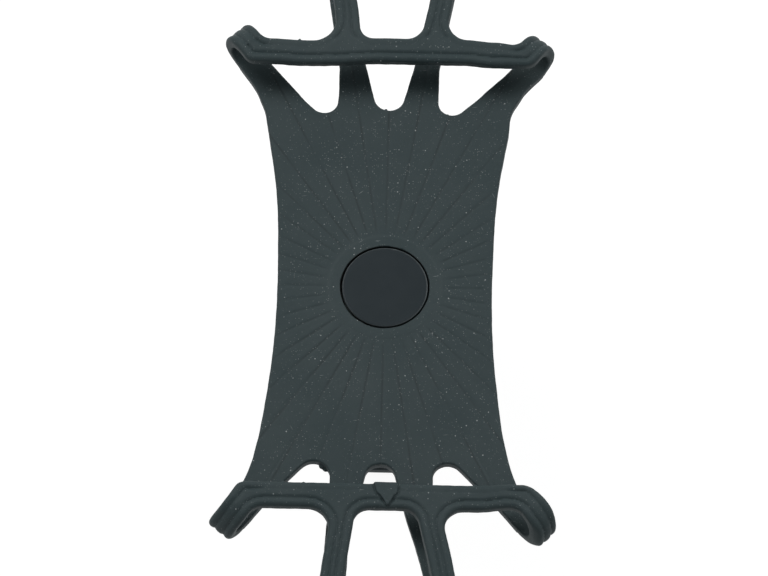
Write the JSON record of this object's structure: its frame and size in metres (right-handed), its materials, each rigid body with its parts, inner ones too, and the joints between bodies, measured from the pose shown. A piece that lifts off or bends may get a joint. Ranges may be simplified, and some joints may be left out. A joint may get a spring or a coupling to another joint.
{
  "type": "phone holder",
  "caption": "Handlebar phone holder: a silicone web with folded corner and end straps on a turning, quick-release base with a strap for the bar.",
  "frame": {"origin": "middle of the handlebar's bore, halfway along the strap's width", "axes": "+X along the handlebar, +Y towards the top of the phone, +Z out of the phone's screen"},
  "size_m": [0.0758, 0.1606, 0.0637],
  "materials": {
    "web_silicone": "matt moulded silicone, dark blue-green grey",
    "cap_plastic": "smooth satin plastic, near black",
    "base_plastic": "fine grained moulded plastic, black",
    "button_plastic": "satin moulded plastic, dark grey",
    "steel": "turned and stamped steel",
    "bush_bronze": "turned bronze",
    "washer_plastic": "natural bearing plastic",
    "pad_rubber": "matt black rubber",
    "strap_silicone": "matt moulded silicone, dark grey"
  },
  "bodies": {
    "base": {"base_housing": "base_plastic", "base_cover": "base_plastic", "cover_screws": "steel", "spindle_bush": "bush_bronze", "thrust_washer": "washer_plastic", "saddle_pad": "pad_rubber", "handlebar_strap": "strap_silicone", "strap_pin": "steel", "pin_clip": "steel", "left_springs": "steel", "right_springs": "steel"},
    "turntable": {"silicone_web": "web_silicone", "hub_cap": "cap_plastic", "dock_plate": "base_plastic", "spindle": "steel", "hub_screw": "steel", "friction_ring": "pad_rubber"},
    "left_release": {"left_button": "button_plastic", "left_latch": "steel"},
    "right_release": {"right_button": "button_plastic", "right_latch": "steel"}
  },
  "joints": [
    {"name": "turn", "type": "hinge", "parent": "base", "child": "turntable", "pos_m": [0, 0, 0.0289], "axis": [0, 0, 1], "continuous": true},
    {"name": "left_press", "type": "slide", "parent": "base", "child": "left_release", "axis": [1, 0, 0], "range_m": [0, 0.0022], "stiffness_N_per_m": 2000, "springref_m": -0.0015, "deforming": ["left_springs"]},
    {"name": "right_press", "type": "slide", "parent": "base", "child": "right_release", "axis": [-1, 0, 0], "range_m": [0, 0.0022], "stiffness_N_per_m": 2000, "springref_m": -0.0015, "deforming": ["right_springs"]}
  ]
}
